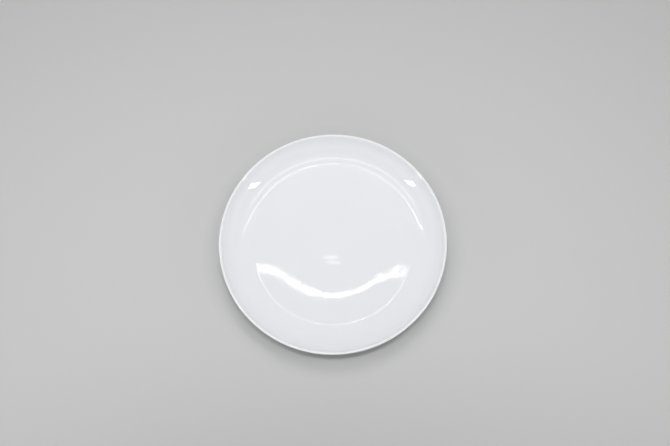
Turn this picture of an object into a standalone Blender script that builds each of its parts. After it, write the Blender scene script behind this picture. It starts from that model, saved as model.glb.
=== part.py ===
"""Bread plate: a round coupe plate of white glazed porcelain, formed and fired as one piece.

The body is turned. Its section runs from the middle of the well out over the verge and up the coved
wall to a rounded lip, then back down the outside and under the rim to the foot ring and the recess
inside it. Straight runs meet in corners, each corner takes a fillet, and the section is revolved
about +Z. The origin lies under the middle of the plate, on the surface that it stands on.
"""

import math

import bpy
from mathutils import Vector

# Overall size
PLATE_DIAMETER = 0.160
PLATE_HEIGHT = 0.019

# Dish: a flat well, a verge that leaves it gently, and a steep wall
RIM_WIDTH = 0.0195
VERGE_ANGLE = math.radians(10.0)
VERGE_RADIUS = 0.051
WALL_ANGLE = math.radians(66.0)
COVE_RADIUS = 0.017

# Lip, rounded more tightly on the outside than on the inside
LIP_INNER_RADIUS = 0.0012
LIP_OUTER_RADIUS = 0.0008

# Thickness of the body, which grows down the wall from the lip to the floor
FLOOR_THICKNESS = 0.0040
WALL_TAPER = math.radians(2.0)
OUTER_COVE_RADIUS = 0.016

# Foot ring, which stands inside the flat well of the plate below when plates are stacked
STACKING_CLEARANCE = 0.006
FOOT_HEIGHT = 0.0025
FOOT_WIDTH = 0.0032
FOOT_DRAFT = math.radians(20.0)
FOOT_EDGE_RADIUS = 0.0007
FOOT_ROOT_RADIUS = 0.0015

# Fineness of the facets
TURN_STEPS = 96
CHORD_ERROR = 0.000025
AXIS_MERGE = 0.00001

# Glaze
GLAZE_COLOUR = (0.807, 0.815, 0.847, 1.0)
GLAZE_ROUGHNESS = 0.1
GLAZE_IOR = 1.52


def unit(angle):
    """Return the unit vector at an angle from the outward direction."""
    return Vector((math.cos(angle), math.sin(angle)))


def meet(point_a, angle_a, point_b, angle_b):
    """Return where two straight runs cross, each given by a point on it and its angle."""
    along_a = unit(angle_a)
    along_b = unit(angle_b)
    distance = (point_b - point_a).cross(along_b) / along_a.cross(along_b)
    return point_a + along_a * distance


def arc(centre, radius, start, turn):
    """Return points along an arc, close enough together to keep its chords within the error."""
    step = 2 * math.acos(1 - CHORD_ERROR / radius)
    count = max(2, math.ceil(abs(turn) / step))
    return [centre + unit(start + turn * i / count) * radius for i in range(count + 1)]


def fillet(before, corner, after, radius):
    """Return the points of the arc that rounds a corner of the section."""
    arriving = (corner - before).normalized()
    leaving = (after - corner).normalized()
    turn = math.atan2(arriving.cross(leaving), arriving.dot(leaving))
    start = corner - arriving * radius * math.tan(abs(turn) / 2)
    side = math.copysign(math.pi / 2, turn)
    heading = math.atan2(arriving.y, arriving.x)
    centre = start + unit(heading + side) * radius
    return arc(centre, radius, heading - side, turn)


def tangent_length(before, corner, after, radius):
    """Return how far a fillet reaches along the two runs that meet in its corner."""
    return radius * math.tan((corner - before).angle(after - corner) / 2)


def rounded(first, corners, last):
    """Return a run of the section from its first point to its last, with its corners rounded.

    Corners are pairs of a point and a fillet radius. Where two fillets need more than the straight
    run between them, that run limits both.
    """
    points = [first] + [point for point, _ in corners] + [last]
    radii = [0.0] + [radius for _, radius in corners] + [0.0]
    inner = range(1, len(points) - 1)
    reach = [0.0] * len(points)
    for i in inner:
        reach[i] = tangent_length(points[i - 1], points[i], points[i + 1], radii[i])
    share = []
    for i in range(len(points) - 1):
        wanted = reach[i] + reach[i + 1]
        room = (points[i + 1] - points[i]).length - AXIS_MERGE
        share.append(min(1.0, room / wanted))
    outline = [first]
    for i in inner:
        radius = radii[i] * min(share[i - 1], share[i])
        outline += fillet(points[i - 1], points[i], points[i + 1], radius)
    return outline + [last]


def plate_section():
    """Return the section of the plate as (radius, height) points, from the well to the recess."""
    plate_radius = PLATE_DIAMETER / 2
    well_height = FOOT_HEIGHT + FLOOR_THICKNESS
    outer_angle = WALL_ANGLE + WALL_TAPER

    crest = math.pi / 2
    crest_radius = plate_radius - LIP_OUTER_RADIUS
    inner_roll = Vector((crest_radius, PLATE_HEIGHT - LIP_INNER_RADIUS))
    outer_roll = Vector((crest_radius, PLATE_HEIGHT - LIP_OUTER_RADIUS))
    lip = arc(inner_roll, LIP_INNER_RADIUS, crest + WALL_ANGLE, -WALL_ANGLE)
    lip += arc(outer_roll, LIP_OUTER_RADIUS, crest, outer_angle - math.pi)[1:]

    well_middle = Vector((0.0, well_height))
    verge = Vector((plate_radius - RIM_WIDTH, well_height))
    cove = meet(verge, VERGE_ANGLE, lip[0], WALL_ANGLE)
    inside = rounded(well_middle, [(verge, VERGE_RADIUS), (cove, COVE_RADIUS)], lip[0])

    flat_well_radius = verge.x - tangent_length(well_middle, verge, cove, VERGE_RADIUS)
    foot_outer = flat_well_radius - STACKING_CLEARANCE
    foot_inner = foot_outer - FOOT_WIDTH
    foot_spread = FOOT_HEIGHT * math.tan(FOOT_DRAFT)

    under_verge_line = verge + unit(VERGE_ANGLE - math.pi / 2) * FLOOR_THICKNESS
    recess_middle = Vector((0.0, FOOT_HEIGHT))
    under_verge = meet(recess_middle, 0.0, under_verge_line, VERGE_ANGLE)
    under_cove = meet(under_verge_line, VERGE_ANGLE, lip[-1], outer_angle)
    outside = rounded(
        lip[-1],
        [
            (under_cove, OUTER_COVE_RADIUS),
            (under_verge, VERGE_RADIUS + FLOOR_THICKNESS),
            (Vector((foot_outer + foot_spread, FOOT_HEIGHT)), FOOT_ROOT_RADIUS),
            (Vector((foot_outer, 0.0)), FOOT_EDGE_RADIUS),
            (Vector((foot_inner, 0.0)), FOOT_EDGE_RADIUS),
            (Vector((foot_inner - foot_spread, FOOT_HEIGHT)), FOOT_ROOT_RADIUS),
        ],
        recess_middle,
    )
    return inside + lip[1:-1] + outside


def glazed_porcelain():
    """Return the material of the plate: white porcelain under a clear gloss glaze."""
    material = bpy.data.materials.new("white_glazed_porcelain")
    material.use_nodes = True
    shader = material.node_tree.nodes["Principled BSDF"]
    shader.inputs["Base Color"].default_value = GLAZE_COLOUR
    shader.inputs["Roughness"].default_value = GLAZE_ROUGHNESS
    shader.inputs["Metallic"].default_value = 0.0
    shader.inputs["IOR"].default_value = GLAZE_IOR
    return material


def turned(name, section, material):
    """Return an object that revolves a section about +Z."""
    mesh = bpy.data.meshes.new(name)
    points = [(point.x, 0.0, point.y) for point in section]
    edges = [(i, i + 1) for i in range(len(points) - 1)]
    mesh.from_pydata(points, edges, [])
    mesh.materials.append(material)
    body = bpy.data.objects.new(name, mesh)
    bpy.context.scene.collection.objects.link(body)
    screw = body.modifiers.new("Turn", "SCREW")
    screw.axis = "Z"
    screw.steps = TURN_STEPS
    screw.render_steps = TURN_STEPS
    screw.use_smooth_shade = True
    screw.use_merge_vertices = True
    screw.merge_threshold = AXIS_MERGE
    return body


def clear_scene():
    """Remove every object from the scene."""
    for existing in list(bpy.data.objects):
        bpy.data.objects.remove(existing, do_unlink=True)


def main():
    """Build the plate."""
    clear_scene()
    turned("plate", plate_section(), glazed_porcelain())


if __name__ == "__main__":
    main()
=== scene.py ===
"""Looks of the bread plate: a white glazed porcelain coupe plate on a pale studio backdrop."""

import logging
import math
from collections.abc import Callable
from dataclasses import dataclass
from enum import Enum, IntEnum
from typing import Any

import bpy
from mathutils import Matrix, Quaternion, Vector


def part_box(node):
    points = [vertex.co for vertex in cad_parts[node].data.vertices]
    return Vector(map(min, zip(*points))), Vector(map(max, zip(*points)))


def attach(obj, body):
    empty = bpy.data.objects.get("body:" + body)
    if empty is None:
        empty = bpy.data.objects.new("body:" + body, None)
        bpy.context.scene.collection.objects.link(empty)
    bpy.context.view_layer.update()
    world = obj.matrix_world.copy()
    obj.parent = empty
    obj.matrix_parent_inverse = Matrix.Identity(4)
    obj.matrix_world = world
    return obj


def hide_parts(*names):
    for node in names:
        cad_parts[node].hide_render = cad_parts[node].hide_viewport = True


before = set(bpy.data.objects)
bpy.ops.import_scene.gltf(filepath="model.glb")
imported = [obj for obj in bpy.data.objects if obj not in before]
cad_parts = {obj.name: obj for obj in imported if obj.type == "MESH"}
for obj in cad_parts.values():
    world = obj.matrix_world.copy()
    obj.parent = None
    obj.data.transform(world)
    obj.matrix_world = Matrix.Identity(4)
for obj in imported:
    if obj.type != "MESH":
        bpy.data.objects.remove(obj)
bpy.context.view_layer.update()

MM = 0.001
MERGE_DISTANCE = 0.001 * MM
LOG = logging.getLogger("bread_plate")

# A Mix node's colour sockets, which share their names with those of its other types
MIX_A = 6
MIX_B = 7
MIX_RESULT = 2

# Points of place and thickness along a lamp
LampPath = tuple[tuple[float, float, float], ...]


def linear(code: str) -> tuple[float, float, float, float]:
    """Turn an sRGB hex colour into linear RGBA.

    Args:
        code: Six hex digits, with or without a leading hash.

    Returns:
        The linear colour with an alpha of 1.
    """
    digits = code.lstrip("#")
    parts = [int(digits[i : i + 2], 16) / 255 for i in (0, 2, 4)]
    red, green, blue = (c / 12.92 if c <= 0.04045 else ((c + 0.055) / 1.055) ** 2.4 for c in parts)
    return red, green, blue, 1.0


def add_node(
    tree: bpy.types.NodeTree,
    kind: str,
    settings: dict[str, Any] | None = None,
    inputs: dict[str | int, Any] | None = None,
) -> bpy.types.Node:
    """Add a node with its settings, its socket values and its links.

    Args:
        tree: The node tree that the node goes into.
        kind: The node's type name.
        settings: Attributes of the node and their values.
        inputs: Input sockets by name or index, each with a value or with a socket to link from.

    Returns:
        The new node.
    """
    node = tree.nodes.new(kind)
    for name, value in (settings or {}).items():
        setattr(node, name, value)
    for key, value in (inputs or {}).items():
        socket = node.inputs[key]
        if isinstance(value, bpy.types.NodeSocket):
            tree.links.new(value, socket)
        else:
            socket.default_value = value
    return node


def new_material(name: str) -> tuple[bpy.types.Material, bpy.types.NodeTree]:
    """Make a material with an empty node tree, which is not sampled as a light where it glows.

    Args:
        name: The material's name.

    Returns:
        The material and its node tree.
    """
    material = bpy.data.materials.new(name)
    material.use_nodes = True
    material.node_tree.nodes.clear()
    material.cycles.emission_sampling = "NONE"
    return material, material.node_tree


def oval_reach(
    tree: bpy.types.NodeTree,
    place: bpy.types.NodeSocket,
    centre: tuple[float, float],
    stretch: float,
) -> bpy.types.NodeSocket:
    """Measure how far a place lies from the middle of an oval.

    Args:
        tree: The node tree that measures it.
        place: The place.
        centre: The middle of the oval.
        stretch: How many times as wide as deep the oval is.

    Returns:
        The distance, as long as it would be along the oval's depth.
    """
    oval = add_node(
        tree,
        "ShaderNodeMapping",
        {"vector_type": "TEXTURE"},
        {"Vector": place, "Location": (*centre, 0.0), "Scale": (stretch, 1.0, 1.0)},
    )
    reach = add_node(tree, "ShaderNodeVectorMath", {"operation": "LENGTH"}, {0: oval.outputs["Vector"]})
    return reach.outputs["Value"]


def unit(angle: float) -> Vector:
    """Return the unit vector of a section at an angle from the outward direction."""
    return Vector((math.cos(angle), math.sin(angle)))


def meet(point_a: Vector, angle_a: float, point_b: Vector, angle_b: float) -> Vector:
    """Find where two straight runs of a section cross.

    Args:
        point_a: A point on the first run.
        angle_a: The first run's angle.
        point_b: A point on the second run.
        angle_b: The second run's angle.

    Returns:
        The corner where they cross.
    """
    along_a = unit(angle_a)
    along_b = unit(angle_b)
    return point_a + along_a * ((point_b - point_a).cross(along_b) / along_a.cross(along_b))


def select_faces(piece: bpy.types.Object, test: Callable[[bpy.types.MeshPolygon], bool]) -> int:
    """Select the faces of a piece that pass a test, and no others.

    Args:
        piece: The piece, in object mode.
        test: A function of a face that is true for the faces wanted.

    Returns:
        How many faces are selected.
    """
    for element in (*piece.data.vertices, *piece.data.edges):
        element.select = False
    for face in piece.data.polygons:
        face.select = test(face)
    return sum(face.select for face in piece.data.polygons)


class SectionPen:
    """A pen that draws a section in the XZ plane by extruding and spinning its last vertex."""

    start_size: float = 2 * MM

    def __init__(self, name: str, start: Vector) -> None:
        """Start a section.

        Args:
            name: The name of the piece that is drawn.
            start: The section's first point, as radius and height.
        """
        bpy.ops.object.select_all(action="DESELECT")
        bpy.ops.mesh.primitive_plane_add(size=self.start_size, location=(start.x, 0.0, start.y))
        bpy.ops.object.transform_apply(location=True, rotation=True, scale=True)
        self.piece = bpy.context.object
        self.piece.name = name
        self.piece.data.name = name
        self.tip = start.copy()
        bpy.ops.object.mode_set(mode="EDIT")
        bpy.ops.mesh.select_all(action="SELECT")
        bpy.ops.mesh.merge(type="CENTER")

    def line_to(self, point: Vector, steps: int = 1) -> None:
        """Draw a straight run.

        Args:
            point: Where the run ends.
            steps: How many edges it has.
        """
        move = (point - self.tip) / steps
        for _ in range(steps):
            bpy.ops.mesh.extrude_region_move(TRANSFORM_OT_translate={"value": (move.x, 0.0, move.y)})
        self.tip = point.copy()

    def arc(self, centre: Vector, turn: float, steps: int) -> None:
        """Draw an arc.

        Args:
            centre: The arc's centre.
            turn: Its angle, positive where it turns left.
            steps: How many edges it has.
        """
        bpy.ops.mesh.spin(steps=steps, angle=turn, center=(centre.x, 0.0, centre.y), axis=(0.0, 1.0, 0.0))
        arm = self.tip - centre
        heading = math.atan2(arm.y, arm.x) + turn
        self.tip = centre + unit(heading) * arm.length

    def round_corner(self, corner: Vector, after: Vector, radius: float, steps: int, run: int = 1) -> None:
        """Draw the run up to a corner and the fillet that rounds it.

        Args:
            corner: The corner.
            after: The next corner, which the section heads for.
            radius: The fillet's radius.
            steps: How many edges the fillet has.
            run: How many edges the run before it has.
        """
        arriving = (corner - self.tip).normalized()
        leaving = (after - corner).normalized()
        turn = math.atan2(arriving.cross(leaving), arriving.dot(leaving))
        start = corner - arriving * radius * math.tan(abs(turn) / 2)
        heading = math.atan2(arriving.y, arriving.x)
        centre = start + unit(heading + math.copysign(math.pi / 2, turn)) * radius
        self.line_to(start, run)
        self.arc(centre, turn, steps)

    def revolve(self, steps: int) -> bpy.types.Object:
        """Spin the section round +Z into a closed body.

        Args:
            steps: How many facets go round it.

        Returns:
            The piece, shaded smooth, with its faces pointing out.
        """
        bpy.ops.mesh.select_all(action="SELECT")
        bpy.ops.mesh.spin(steps=steps, angle=math.tau, center=(0.0, 0.0, 0.0), axis=(0.0, 0.0, 1.0))
        bpy.ops.mesh.select_all(action="SELECT")
        bpy.ops.mesh.remove_doubles(threshold=MERGE_DISTANCE)
        bpy.ops.mesh.normals_make_consistent(inside=False)
        bpy.ops.object.mode_set(mode="OBJECT")
        bpy.ops.object.shade_smooth()
        return self.piece


class PlateSlot(IntEnum):
    """The plate's material slots."""

    GLAZED = 0
    BARE = 1


@dataclass(frozen=True)
class PorcelainGlaze:
    """Clear feldspar glaze fired over white porcelain.

    The eye sees a cool white body through a hard gloss. Its white clouds at random between two close
    tones. Over the lip it is painted lighter, a painted highlight along the crest, and a little
    warmer where the glaze runs thin.
    Its surface is not quite flat: it sets in low swells a few millimetres across, which break up the
    edges of a reflected lamp.
    """

    body_colour: str = "#F3F4F7"
    thick_colour: str = "#F1F2F6"
    # Painted highlight: a lighter, slightly warmer white over the lip's crest
    lip_highlight_colour: str = "#FAFAF9"
    ior: float = 1.52
    roughness: float = 0.022
    cloud_size: float = 24 * MM
    swell_size: float = 2.8 * MM
    swell_height: float = 0.005 * MM
    peel_size: float = 1.1 * MM
    peel_height: float = 0.001 * MM

    def colour(
        self,
        tree: bpy.types.NodeTree,
        place: bpy.types.NodeSocket,
        lip_height: float,
        highlight_depth: float,
    ) -> bpy.types.NodeSocket:
        """Cloud the white, and paint a highlight over the lip, lighter and a little warmer.

        Args:
            tree: The glaze's node tree.
            place: The place on the plate.
            lip_height: Height of the lip's crest.
            highlight_depth: How far below the crest the painted highlight reaches.

        Returns:
            The colour.
        """
        cloud = add_node(
            tree,
            "ShaderNodeTexNoise",
            inputs={"Vector": place, "Scale": 1 / self.cloud_size, "Detail": 2.0, "Roughness": 0.5},
        )
        white = add_node(
            tree,
            "ShaderNodeMix",
            {"data_type": "RGBA"},
            {
                "Factor": cloud.outputs["Fac"],
                MIX_A: linear(self.body_colour),
                MIX_B: linear(self.thick_colour),
            },
        )
        # Painted highlight: the white turns lighter and a little warmer towards the lip's crest
        height = add_node(tree, "ShaderNodeSeparateXYZ", inputs={"Vector": place}).outputs["Z"]
        lip_highlight = add_node(
            tree,
            "ShaderNodeMapRange",
            {"interpolation_type": "SMOOTHSTEP"},
            {"Value": height, "From Min": lip_height - highlight_depth, "From Max": lip_height},
        )
        colour = add_node(
            tree,
            "ShaderNodeMix",
            {"data_type": "RGBA"},
            {
                "Factor": lip_highlight.outputs["Result"],
                MIX_A: white.outputs[MIX_RESULT],
                MIX_B: linear(self.lip_highlight_colour),
            },
        )
        return colour.outputs[MIX_RESULT]

    def relief(self, tree: bpy.types.NodeTree, place: bpy.types.NodeSocket) -> bpy.types.NodeSocket:
        """Raise the glaze in low swells and a finer peel.

        Args:
            tree: The glaze's node tree.
            place: The place on the plate.

        Returns:
            The normal.
        """
        swell = add_node(
            tree,
            "ShaderNodeTexNoise",
            inputs={"Vector": place, "Scale": 1 / self.swell_size, "Detail": 1.0, "Roughness": 0.4},
        )
        peel = add_node(
            tree,
            "ShaderNodeTexNoise",
            inputs={"Vector": place, "Scale": 1 / self.peel_size, "Detail": 0.0},
        )
        low = add_node(
            tree,
            "ShaderNodeBump",
            inputs={"Strength": 1.0, "Distance": self.swell_height, "Height": swell.outputs["Fac"]},
        )
        fine = add_node(
            tree,
            "ShaderNodeBump",
            inputs={
                "Strength": 1.0,
                "Distance": self.peel_height,
                "Height": peel.outputs["Fac"],
                "Normal": low.outputs["Normal"],
            },
        )
        return fine.outputs["Normal"]

    def material(self, lip_height: float, highlight_depth: float) -> bpy.types.Material:
        """Make the glaze.

        Args:
            lip_height: Height of the lip's crest.
            highlight_depth: How far below the crest the painted highlight reaches.

        Returns:
            The material.
        """
        material, tree = new_material("glazed_porcelain")
        place = add_node(tree, "ShaderNodeTexCoord").outputs["Object"]
        shader = add_node(
            tree,
            "ShaderNodeBsdfPrincipled",
            inputs={
                "Base Color": self.colour(tree, place, lip_height, highlight_depth),
                "Roughness": self.roughness,
                "IOR": self.ior,
                "Normal": self.relief(tree, place),
            },
        )
        add_node(tree, "ShaderNodeOutputMaterial", inputs={"Surface": shader.outputs["BSDF"]})
        return material


@dataclass(frozen=True)
class BarePorcelain:
    """Unglazed porcelain on the foot, where the plate stood on the kiln shelf.

    The eye sees a matt, slightly warm white with a fine grain and a few grey specks.
    """

    colour: str = "#E6E2DA"
    worn_colour: str = "#CFCAC1"
    roughness: float = 0.78
    grain_size: float = 0.35 * MM
    grain_height: float = 0.02 * MM
    speck_size: float = 1.8 * MM
    speck_from: float = 0.56
    speck_to: float = 0.7

    def material(self) -> bpy.types.Material:
        """Make the bare porcelain.

        Returns:
            The material.
        """
        material, tree = new_material("bare_porcelain")
        place = add_node(tree, "ShaderNodeTexCoord").outputs["Object"]
        specks = add_node(
            tree,
            "ShaderNodeTexNoise",
            inputs={"Vector": place, "Scale": 1 / self.speck_size, "Detail": 4.0, "Roughness": 0.65},
        )
        worn = add_node(
            tree,
            "ShaderNodeMapRange",
            inputs={
                "Value": specks.outputs["Fac"],
                "From Min": self.speck_from,
                "From Max": self.speck_to,
            },
        )
        colour = add_node(
            tree,
            "ShaderNodeMix",
            {"data_type": "RGBA"},
            {
                "Factor": worn.outputs["Result"],
                MIX_A: linear(self.colour),
                MIX_B: linear(self.worn_colour),
            },
        )
        grain = add_node(
            tree,
            "ShaderNodeTexNoise",
            inputs={"Vector": place, "Scale": 1 / self.grain_size, "Detail": 2.0},
        )
        rough = add_node(
            tree,
            "ShaderNodeBump",
            inputs={"Strength": 1.0, "Distance": self.grain_height, "Height": grain.outputs["Fac"]},
        )
        shader = add_node(
            tree,
            "ShaderNodeBsdfPrincipled",
            inputs={
                "Base Color": colour.outputs[MIX_RESULT],
                "Roughness": self.roughness,
                "Normal": rough.outputs["Normal"],
            },
        )
        add_node(tree, "ShaderNodeOutputMaterial", inputs={"Surface": shader.outputs["BSDF"]})
        return material


@dataclass
class CoupePlate:
    """The plate: flat well, gentle verge, coved wall, rounded lip and foot ring, in one body."""

    radius: float
    height: float
    rim_width: float = 19.5 * MM
    verge_angle: float = math.radians(10.0)
    verge_radius: float = 51.0 * MM
    wall_angle: float = math.radians(66.0)
    cove_radius: float = 17.0 * MM
    lip_inner_radius: float = 1.2 * MM
    lip_outer_radius: float = 0.8 * MM
    floor_thickness: float = 4.0 * MM
    wall_taper: float = math.radians(2.0)
    outer_cove_radius: float = 16.0 * MM
    stacking_clearance: float = 6.0 * MM
    foot_height: float = 2.5 * MM
    foot_width: float = 3.2 * MM
    foot_draft: float = math.radians(20.0)
    foot_edge_radius: float = 0.7 * MM
    foot_root_radius: float = 1.5 * MM
    # How far below the lip's crest the painted highlight reaches
    lip_highlight_depth: float = 0.2 * MM
    wiped_height: float = 0.245 * MM
    well_steps: int = 12
    verge_steps: int = 30
    cove_steps: int = 40
    wall_steps: int = 2
    lip_inner_steps: int = 20
    lip_outer_steps: int = 14
    outer_cove_steps: int = 24
    under_verge_steps: int = 10
    foot_steps: int = 8
    recess_steps: int = 8
    turn_steps: int = 320

    @property
    def well_height(self) -> float:
        """Height of the flat well above the surface that the plate stands on."""
        return self.foot_height + self.floor_thickness

    def roll_centre(self, roll_radius: float) -> Vector:
        """Return the centre of one of the lip's two rolls, which meet in its crest."""
        return Vector((self.radius - self.lip_outer_radius, self.height - roll_radius))

    def draw_inside(self, pen: SectionPen, wall_top: Vector) -> None:
        """Draw the section from the middle of the well up to the lip.

        Args:
            pen: The pen, at the middle of the well.
            wall_top: Where the wall starts to roll over into the lip.
        """
        verge = Vector((self.radius - self.rim_width, self.well_height))
        cove = meet(verge, self.verge_angle, wall_top, self.wall_angle)
        pen.round_corner(verge, cove, self.verge_radius, self.verge_steps, run=self.well_steps)
        pen.round_corner(cove, wall_top, self.cove_radius, self.cove_steps)
        pen.line_to(wall_top, self.wall_steps)

    def draw_outside(self, pen: SectionPen) -> None:
        """Draw the section from the lip down under the rim, round the foot and into the recess.

        Args:
            pen: The pen, at the outer end of the lip.
        """
        verge = Vector((self.radius - self.rim_width, self.well_height))
        flat_well = verge.x - self.verge_radius * math.tan(self.verge_angle / 2)
        foot_outer = flat_well - self.stacking_clearance
        foot_inner = foot_outer - self.foot_width
        spread = self.foot_height * math.tan(self.foot_draft)
        recess_middle = Vector((0.0, self.foot_height))
        below_verge = verge + unit(self.verge_angle - math.pi / 2) * self.floor_thickness
        outer_angle = self.wall_angle + self.wall_taper
        under_cove = meet(below_verge, self.verge_angle, pen.tip, outer_angle)
        under_verge = meet(recess_middle, 0.0, below_verge, self.verge_angle)
        corners = [
            (under_cove, self.outer_cove_radius, self.outer_cove_steps),
            (under_verge, self.verge_radius + self.floor_thickness, self.under_verge_steps),
            (Vector((foot_outer + spread, self.foot_height)), self.foot_root_radius, self.foot_steps),
            (Vector((foot_outer, 0.0)), self.foot_edge_radius, self.foot_steps),
            (Vector((foot_inner, 0.0)), self.foot_edge_radius, self.foot_steps),
            (Vector((foot_inner - spread, self.foot_height)), self.foot_root_radius, self.foot_steps),
        ]
        targets = [corner for corner, _, _ in corners[1:]] + [recess_middle]
        for (corner, radius, steps), after in zip(corners, targets):
            pen.round_corner(corner, after, radius, steps, run=self.wall_steps)
        pen.line_to(recess_middle, self.recess_steps)

    def build(self) -> bpy.types.Object:
        """Draw the section and turn it into the plate.

        Returns:
            The plate's mesh object.
        """
        inner_roll = self.roll_centre(self.lip_inner_radius)
        outer_roll = self.roll_centre(self.lip_outer_radius)
        wall_top = inner_roll + unit(self.wall_angle + math.pi / 2) * self.lip_inner_radius
        pen = SectionPen("coupe_plate", Vector((0.0, self.well_height)))
        self.draw_inside(pen, wall_top)
        pen.arc(inner_roll, -self.wall_angle, self.lip_inner_steps)
        pen.arc(outer_roll, self.wall_angle + self.wall_taper - math.pi, self.lip_outer_steps)
        self.draw_outside(pen)
        return pen.revolve(self.turn_steps)

    def dress(self, piece: bpy.types.Object) -> int:
        """Glaze the plate all over, and leave bare the flat of the foot that it stands on.

        Args:
            piece: The plate's mesh object.

        Returns:
            How many faces are bare.
        """
        finishes = {
            PlateSlot.GLAZED: PorcelainGlaze().material(self.height, self.lip_highlight_depth),
            PlateSlot.BARE: BarePorcelain().material(),
        }
        for slot in PlateSlot:
            piece.data.materials.append(finishes[slot])
        bare = select_faces(piece, lambda face: face.center.z < self.wiped_height)
        piece.active_material_index = PlateSlot.BARE
        bpy.ops.object.mode_set(mode="EDIT")
        bpy.ops.object.material_slot_assign()
        bpy.ops.mesh.select_all(action="DESELECT")
        bpy.ops.object.mode_set(mode="OBJECT")
        return bare


@dataclass(frozen=True)
class BackdropPaper:
    """Matt grey studio paper with painted shade, darker towards the edges of the set.

    The eye sees a smooth neutral grey with no sheen and only the faintest mottle, which runs on into
    the backdrop without a horizon. Shade is painted into the grey close to the plate, whose rim keeps
    the room's light off it, and in a soft oval in front, where less light falls.
    """

    # Painted falloff of light: the grey is lighter in the middle of the set and darker towards its edges
    middle_colour: str = "#D0D1D0"
    edge_colour: str = "#BBBCBB"
    fade_centre: tuple[float, float] = (-59 * MM, -60 * MM)
    fade_stretch: float = 1.572
    fade_from: float = 79 * MM
    fade_to: float = 446 * MM
    # Painted shadow: a soft darker oval on the paper in front of the plate
    shade_centre: tuple[float, float] = (-24 * MM, -189 * MM)
    shade_stretch: float = 2.179
    shade_to: float = 162 * MM
    shade_depth: float = 0.165
    # Painted shade: the paper darkens close to the plate, within this reach of it
    contact_reach: float = 22 * MM
    contact_depth: float = 0.24
    blend_from: float = 300 * MM
    blend_to: float = 650 * MM
    roughness: float = 0.9
    mottle_size: float = 18 * MM
    mottle_height: float = 0.004 * MM

    def grey(self, tree: bpy.types.NodeTree, place: bpy.types.NodeSocket) -> bpy.types.NodeSocket:
        """Paint shade onto the paper: darker towards its edges, in front and close to the plate.

        Args:
            tree: The paper's node tree.
            place: The place on the paper.

        Returns:
            The colour.
        """
        # Painted falloff of light: the grey darkens from the middle of the set towards its edges
        fade = add_node(
            tree,
            "ShaderNodeMapRange",
            {"interpolation_type": "SMOOTHSTEP"},
            {
                "Value": oval_reach(tree, place, self.fade_centre, self.fade_stretch),
                "From Min": self.fade_from,
                "From Max": self.fade_to,
            },
        )
        colour = add_node(
            tree,
            "ShaderNodeMix",
            {"data_type": "RGBA"},
            {
                "Factor": fade.outputs["Result"],
                MIX_A: linear(self.middle_colour),
                MIX_B: linear(self.edge_colour),
            },
        )
        # Painted shadow: the paper darkens in a soft oval in front of the plate
        shade = add_node(
            tree,
            "ShaderNodeMapRange",
            {"interpolation_type": "SMOOTHSTEP"},
            {
                "Value": oval_reach(tree, place, self.shade_centre, self.shade_stretch),
                "From Max": self.shade_to,
                "To Min": 1 - self.shade_depth,
            },
        )
        # Painted shade: the paper darkens where the plate closes it in, as ambient occlusion measures it
        open_sky = add_node(tree, "ShaderNodeAmbientOcclusion", inputs={"Distance": self.contact_reach})
        contact = add_node(
            tree,
            "ShaderNodeMapRange",
            inputs={"Value": open_sky.outputs["AO"], "To Min": 1 - self.contact_depth},
        )
        shaded = add_node(
            tree,
            "ShaderNodeVectorMath",
            {"operation": "SCALE"},
            {0: colour.outputs[MIX_RESULT], "Scale": shade.outputs["Result"]},
        )
        greyed = add_node(
            tree,
            "ShaderNodeVectorMath",
            {"operation": "SCALE"},
            {0: shaded.outputs["Vector"], "Scale": contact.outputs["Result"]},
        )
        return greyed.outputs["Vector"]

    def material(self) -> bpy.types.Material:
        """Make the paper.

        Returns:
            The material.
        """
        material, tree = new_material("backdrop_paper")
        place = add_node(tree, "ShaderNodeTexCoord").outputs["Object"]
        mottle = add_node(
            tree,
            "ShaderNodeTexNoise",
            inputs={"Vector": place, "Scale": 1 / self.mottle_size, "Detail": 3.0},
        )
        relief = add_node(
            tree,
            "ShaderNodeBump",
            inputs={"Strength": 1.0, "Distance": self.mottle_height, "Height": mottle.outputs["Fac"]},
        )
        shader = add_node(
            tree,
            "ShaderNodeBsdfPrincipled",
            inputs={
                "Base Color": self.grey(tree, place),
                "Roughness": self.roughness,
                "Specular IOR Level": 0.0,
                "Normal": relief.outputs["Normal"],
            },
        )
        distance = add_node(tree, "ShaderNodeVectorMath", {"operation": "LENGTH"}, {0: place})
        ray = add_node(tree, "ShaderNodeLightPath").outputs["Is Camera Ray"]
        blend = add_node(
            tree,
            "ShaderNodeMapRange",
            {"interpolation_type": "SMOOTHSTEP"},
            {
                "Value": distance.outputs["Value"],
                "From Min": self.blend_from,
                "From Max": self.blend_to,
                "To Max": ray,
            },
        )
        backdrop = add_node(tree, "ShaderNodeEmission", inputs={"Color": linear(self.edge_colour)})
        surface = add_node(
            tree,
            "ShaderNodeMixShader",
            inputs={
                0: blend.outputs["Result"],
                1: shader.outputs["BSDF"],
                2: backdrop.outputs["Emission"],
            },
        )
        add_node(tree, "ShaderNodeOutputMaterial", inputs={"Surface": surface.outputs["Shader"]})
        return material


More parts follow.
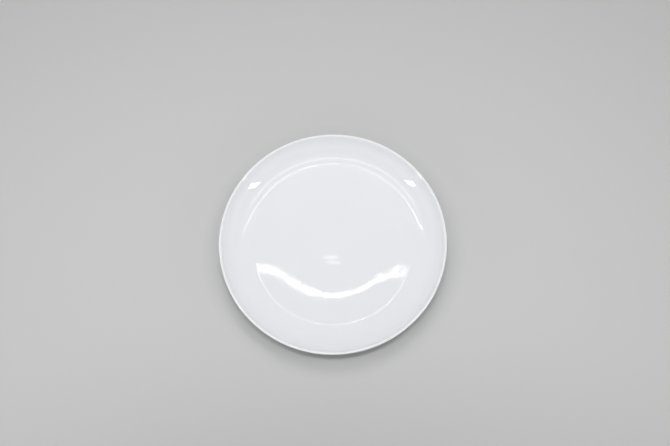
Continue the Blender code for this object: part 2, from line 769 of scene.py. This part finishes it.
@dataclass(frozen=True)
class LampGlow:
    """The glow of a frosted lamp tube, which only shows in the glaze.

    The eye sees a white line there. Brightness is that of the middle of the tube, where 1 is white.
    Patchiness, from 0 to 1, is how far it varies from patch to patch of the noise, and fringe is how
    softly it fades towards the tube's edges, where 0 is not at all.
    """

    brightness: float
    patchiness: float = 0.0
    fringe: float = 0.0
    patch_size: float = 4.5 * MM
    dim_patch: float = 0.4
    bright_patch: float = 0.6

    def material(self, name: str) -> bpy.types.Material:
        """Make the glow.

        Args:
            name: The lamp's name.

        Returns:
            The material.
        """
        material, tree = new_material(f"{name}_glow")
        place = add_node(tree, "ShaderNodeTexCoord").outputs["Object"]
        patches = add_node(
            tree,
            "ShaderNodeTexNoise",
            inputs={"Vector": place, "Scale": 1 / self.patch_size, "Detail": 1.0},
        )
        strength = add_node(
            tree,
            "ShaderNodeMapRange",
            inputs={
                "Value": patches.outputs["Fac"],
                "From Min": self.dim_patch,
                "From Max": self.bright_patch,
                "To Min": self.brightness * (1 - self.patchiness),
                "To Max": self.brightness * (1 + self.patchiness),
            },
        )
        edge = add_node(tree, "ShaderNodeLayerWeight", inputs={"Blend": 0.5}).outputs["Facing"]
        inner = add_node(tree, "ShaderNodeMath", {"operation": "SUBTRACT"}, {0: 1.0, 1: edge})
        fading = add_node(
            tree,
            "ShaderNodeMath",
            {"operation": "POWER"},
            {0: inner.outputs["Value"], 1: self.fringe},
        )
        faded = add_node(
            tree,
            "ShaderNodeMath",
            {"operation": "MULTIPLY"},
            {0: strength.outputs["Result"], 1: fading.outputs["Value"]},
        )
        light = add_node(tree, "ShaderNodeEmission", inputs={"Strength": faded.outputs["Value"]})
        add_node(tree, "ShaderNodeOutputMaterial", inputs={"Surface": light.outputs["Emission"]})
        return material


@dataclass(frozen=True)
class TubeLamp:
    """A bare curved lamp overhead, which only shows in the glaze, as a bright line.

    Its path is a few points of place and thickness in a level plane, joined by a smooth curve.
    """

    name: str
    height: float
    path: LampPath
    glow: LampGlow

    def build(self) -> bpy.types.Object:
        """Make the lamp as a glowing tube.

        Returns:
            The tube, which is part of the set.
        """
        curve = bpy.data.curves.new(self.name, "CURVE")
        curve.dimensions = "3D"
        # With this depth, a point's radius is the full thickness of the tube there
        curve.bevel_depth = 0.5
        spline = curve.splines.new("BEZIER")
        spline.bezier_points.add(len(self.path) - 1)
        for point, (x, y, thickness) in zip(spline.bezier_points, self.path):
            point.co = (x, y, self.height)
            point.radius = thickness
            point.handle_left_type = "AUTO"
            point.handle_right_type = "AUTO"
        lamp = bpy.data.objects.new(self.name, curve)
        bpy.context.scene.collection.objects.link(lamp)
        bpy.ops.object.select_all(action="DESELECT")
        lamp.select_set(True)
        bpy.context.view_layer.objects.active = lamp
        bpy.ops.object.convert(target="MESH")
        lamp.visible_camera = False
        lamp.visible_diffuse = False
        lamp.visible_shadow = False
        lamp.data.materials.append(self.glow.material(self.name))
        return lamp


def path_mm(*points: tuple[float, float, float]) -> LampPath:
    """Return a lamp's path from points of place and thickness in millimetres."""
    return tuple((x * MM, y * MM, thickness * MM) for x, y, thickness in points)


class Side(Enum):
    """The sides of the set, as turns from +X."""

    RIGHT = 0.0
    BACK = math.radians(90)
    LEFT = math.radians(180)
    FRONT = math.radians(-90)


class LampUse(Enum):
    """What a lamp box does: soften the set's light, or show as a highlight in the glaze."""

    FILL = "fill"
    HIGHLIGHT = "highlight"


@dataclass(frozen=True)
class LampBox:
    """A flat rectangular light, aimed at the plate, with a brightness where 1 is white."""

    name: str
    use: LampUse
    azimuth: float
    elevation: float
    distance: float
    width: float
    length: float
    brightness: float

    def build(self) -> bpy.types.Object:
        """Make the light.

        Returns:
            The area light.
        """
        data = bpy.data.lights.new(self.name, "AREA")
        data.shape = "RECTANGLE"
        data.size = self.width
        data.size_y = self.length
        data.energy = self.brightness * math.pi * self.width * self.length
        light = bpy.data.objects.new(self.name, data)
        flat = self.distance * math.cos(self.elevation)
        light.location = (
            flat * math.cos(self.azimuth),
            flat * math.sin(self.azimuth),
            self.distance * math.sin(self.elevation),
        )
        light.rotation_euler = (-light.location).to_track_quat("-Z", "Y").to_euler()
        light.visible_diffuse = self.use is LampUse.FILL
        light.visible_glossy = self.use is LampUse.HIGHLIGHT
        bpy.context.scene.collection.objects.link(light)
        return light


@dataclass(frozen=True)
class Studio:
    """The set: grey paper under a soft white tent, with a few bare lamps that the glaze mirrors.

    The tent's brightness differs between top and low, and between back and front. The bounds between
    them are heights and depths of the direction that its light comes from.
    """

    floor_size: float = 6.0
    tent_colour: str = "#FFFFFF"
    top_back: float = 0.355
    top_front: float = 0.0
    low_back: float = 0.452
    low_front: float = 0.932
    back_from: float = -0.05
    back_to: float = 0.4
    top_from: float = 0.4
    top_to: float = 0.75
    lamp_height: float = 1.2
    ring_end_glow: LampGlow = LampGlow(10.5, patchiness=0.9, fringe=3.0)
    ring_middle_glow: LampGlow = LampGlow(28.0, fringe=3.0)
    bow_glow: LampGlow = LampGlow(3.5)
    bow_thickness_mm: float = 110.0
    pilot_glow: LampGlow = LampGlow(5.0, fringe=3.0)
    strip_right: float = math.radians(-26.6)
    strip_left: float = math.radians(-159.4)
    strip_elevation: float = math.radians(32.6)
    strip_distance: float = 3.0
    strip_size: tuple[float, float] = (0.2, 1.4)
    strip_brightness: float = 25.0
    soft_elevation: float = math.radians(65)
    soft_distance: float = 1.5
    soft_size: float = 0.5
    side_brightness: float = 2.94
    back_brightness: float = 4.13
    overhead_elevation: float = math.radians(88)
    overhead_distance: float = 1.5
    overhead_size: tuple[float, float] = (0.4, 0.13)
    overhead_brightness: float = 39.6

    def floor(self) -> bpy.types.Object:
        """Lay the backdrop paper.

        Returns:
            The floor.
        """
        bpy.ops.object.select_all(action="DESELECT")
        bpy.ops.mesh.primitive_plane_add(size=self.floor_size, location=(0.0, 0.0, 0.0))
        floor = bpy.context.object
        floor.name = "backdrop"
        floor.data.materials.append(BackdropPaper().material())
        return floor

    def tent(self) -> bpy.types.World:
        """Light the set from all round, with a bright top at the back and a dark one over the camera.

        Returns:
            The world.
        """
        world = bpy.data.worlds.new("light_tent")
        world.use_nodes = True
        tree = world.node_tree
        tree.nodes.clear()
        direction = add_node(tree, "ShaderNodeTexCoord").outputs["Generated"]
        towards = add_node(tree, "ShaderNodeSeparateXYZ", inputs={"Vector": direction})
        back = add_node(
            tree,
            "ShaderNodeMapRange",
            {"interpolation_type": "SMOOTHSTEP"},
            {"Value": towards.outputs["Y"], "From Min": self.back_from, "From Max": self.back_to},
        )
        top = add_node(
            tree,
            "ShaderNodeMapRange",
            {"interpolation_type": "SMOOTHSTEP"},
            {"Value": towards.outputs["Z"], "From Min": self.top_from, "From Max": self.top_to},
        )
        low = add_node(
            tree,
            "ShaderNodeMapRange",
            inputs={"Value": back.outputs["Result"], "To Min": self.low_front, "To Max": self.low_back},
        )
        high = add_node(
            tree,
            "ShaderNodeMapRange",
            inputs={"Value": back.outputs["Result"], "To Min": self.top_front, "To Max": self.top_back},
        )
        strength = add_node(
            tree,
            "ShaderNodeMapRange",
            inputs={
                "Value": top.outputs["Result"],
                "To Min": low.outputs["Result"],
                "To Max": high.outputs["Result"],
            },
        )
        light = add_node(
            tree,
            "ShaderNodeBackground",
            inputs={"Color": linear(self.tent_colour), "Strength": strength.outputs["Result"]},
        )
        shown = add_node(
            tree,
            "ShaderNodeBackground",
            inputs={"Color": linear(BackdropPaper().edge_colour), "Strength": 1.0},
        )
        ray = add_node(tree, "ShaderNodeLightPath").outputs["Is Camera Ray"]
        mix = add_node(
            tree,
            "ShaderNodeMixShader",
            inputs={0: ray, 1: light.outputs["Background"], 2: shown.outputs["Background"]},
        )
        add_node(tree, "ShaderNodeOutputWorld", inputs={"Surface": mix.outputs["Shader"]})
        bpy.context.scene.world = world
        return world

    def tubes(self) -> list[TubeLamp]:
        """List the bare lamps overhead that the glaze draws as lines.

        Returns:
            The lamps, left to right along the ring, then the bow and the two pilots.
        """
        ring_left = path_mm(
            (-232, 297, 20.5),
            (-190, 294, 20.5),
            (-154, 287, 20.5),
            (-134, 282, 27),
            (-112, 271, 24),
            (-81, 247, 24),
            (-52, 231, 22),
            (-30, 224, 16.5),
        )
        ring_middle = path_mm(
            (-42, 226, 8.5),
            (-14, 220, 9),
            (20, 221, 8.5),
            (58, 232, 7.5),
            (84, 247, 7.5),
        )
        ring_right = path_mm(
            (82, 246, 14.5),
            (92, 250, 26),
            (107, 252, 14.5),
            (120, 258, 26),
            (132, 261, 40.5),
            (148, 262, 19.5),
            (180, 268, 19.5),
            (220, 277, 19.5),
        )
        bow_line = (
            (-335, 185),
            (-305, 75),
            (-220, 0),
            (-110, -30),
            (0, -40),
            (110, -40),
            (225, -25),
            (315, 20),
            (365, 115),
        )
        bow = path_mm(*((x, y, self.bow_thickness_mm) for x, y in bow_line))
        pilots = (
            path_mm((-22, 299, 10), (8, 298, 10)),
            path_mm((-16, 288, 7), (14, 287, 7)),
        )
        return [
            TubeLamp("ring_left", self.lamp_height, ring_left, self.ring_end_glow),
            TubeLamp("ring_middle", self.lamp_height, ring_middle, self.ring_middle_glow),
            TubeLamp("ring_right", self.lamp_height, ring_right, self.ring_end_glow),
            TubeLamp("bow_tube", self.lamp_height, bow, self.bow_glow),
            *(TubeLamp("pilot_bar", self.lamp_height, path, self.pilot_glow) for path in pilots),
        ]

    def boxes(self) -> list[LampBox]:
        """List the flat lights: a strip on each side in front, and soft ones overhead.

        Returns:
            The lights.
        """
        strip = (self.strip_elevation, self.strip_distance, *self.strip_size, self.strip_brightness)
        soft = (self.soft_elevation, self.soft_distance, self.soft_size, self.soft_size)
        overhead = (self.overhead_elevation, self.overhead_distance, *self.overhead_size)
        return [
            LampBox("strip_right", LampUse.HIGHLIGHT, self.strip_right, *strip),
            LampBox("strip_left", LampUse.HIGHLIGHT, self.strip_left, *strip),
            LampBox("soft_right", LampUse.FILL, Side.RIGHT.value, *soft, self.side_brightness),
            LampBox("soft_left", LampUse.FILL, Side.LEFT.value, *soft, self.side_brightness),
            LampBox("soft_back", LampUse.FILL, Side.BACK.value, *soft, self.back_brightness),
            LampBox("overhead", LampUse.FILL, Side.FRONT.value, *overhead, self.overhead_brightness),
        ]

    def build(self) -> list[str]:
        """Build the whole set.

        Returns:
            The names of what it holds.
        """
        floor = self.floor()
        world = self.tent()
        lamps = [lamp.build() for lamp in (*self.tubes(), *self.boxes())]
        return [floor.name, world.name, *(lamp.name for lamp in lamps)]


@dataclass(frozen=True)
class PhotoCamera:
    """The photograph's camera, nearly over the plate and turned a little."""

    place: tuple[float, float, float] = (0.0, -173.9 * MM, 647.3 * MM)
    aim: tuple[float, float, float] = (2.34 * MM, 12.95 * MM, 18.2 * MM)
    roll: float = math.radians(-2.65)
    lens_mm: float = 50.0
    sensor_mm: float = 36.0

    def build(self) -> bpy.types.Object:
        """Make the camera and give it to the scene.

        Returns:
            The camera.
        """
        data = bpy.data.cameras.new("photo_camera")
        data.lens = self.lens_mm
        data.sensor_width = self.sensor_mm
        camera = bpy.data.objects.new("photo_camera", data)
        camera.location = self.place
        look = (Vector(self.aim) - Vector(self.place)).to_track_quat("-Z", "Y")
        camera.rotation_euler = (look @ Quaternion((0.0, 0.0, 1.0), self.roll)).to_euler()
        bpy.context.scene.collection.objects.link(camera)
        bpy.context.scene.camera = camera
        return camera


def main() -> None:
    """Build the plate, the set and the camera."""
    logging.basicConfig(level=logging.INFO, format="%(name)s: %(message)s")
    low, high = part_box("plate")
    plate = CoupePlate(radius=(high.x - low.x) / 2, height=high.z - low.z)
    piece = plate.build()
    bare = plate.dress(piece)
    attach(piece, "root")
    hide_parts("plate")
    LOG.info("%s: %d faces, %d of them bare", piece.name, len(piece.data.polygons), bare)
    LOG.info("set: %s", ", ".join(Studio().build()))
    LOG.info("camera: %s", PhotoCamera().build().name)
    bpy.context.scene.view_settings.view_transform = "Standard"


if __name__ == "__main__":
    main()
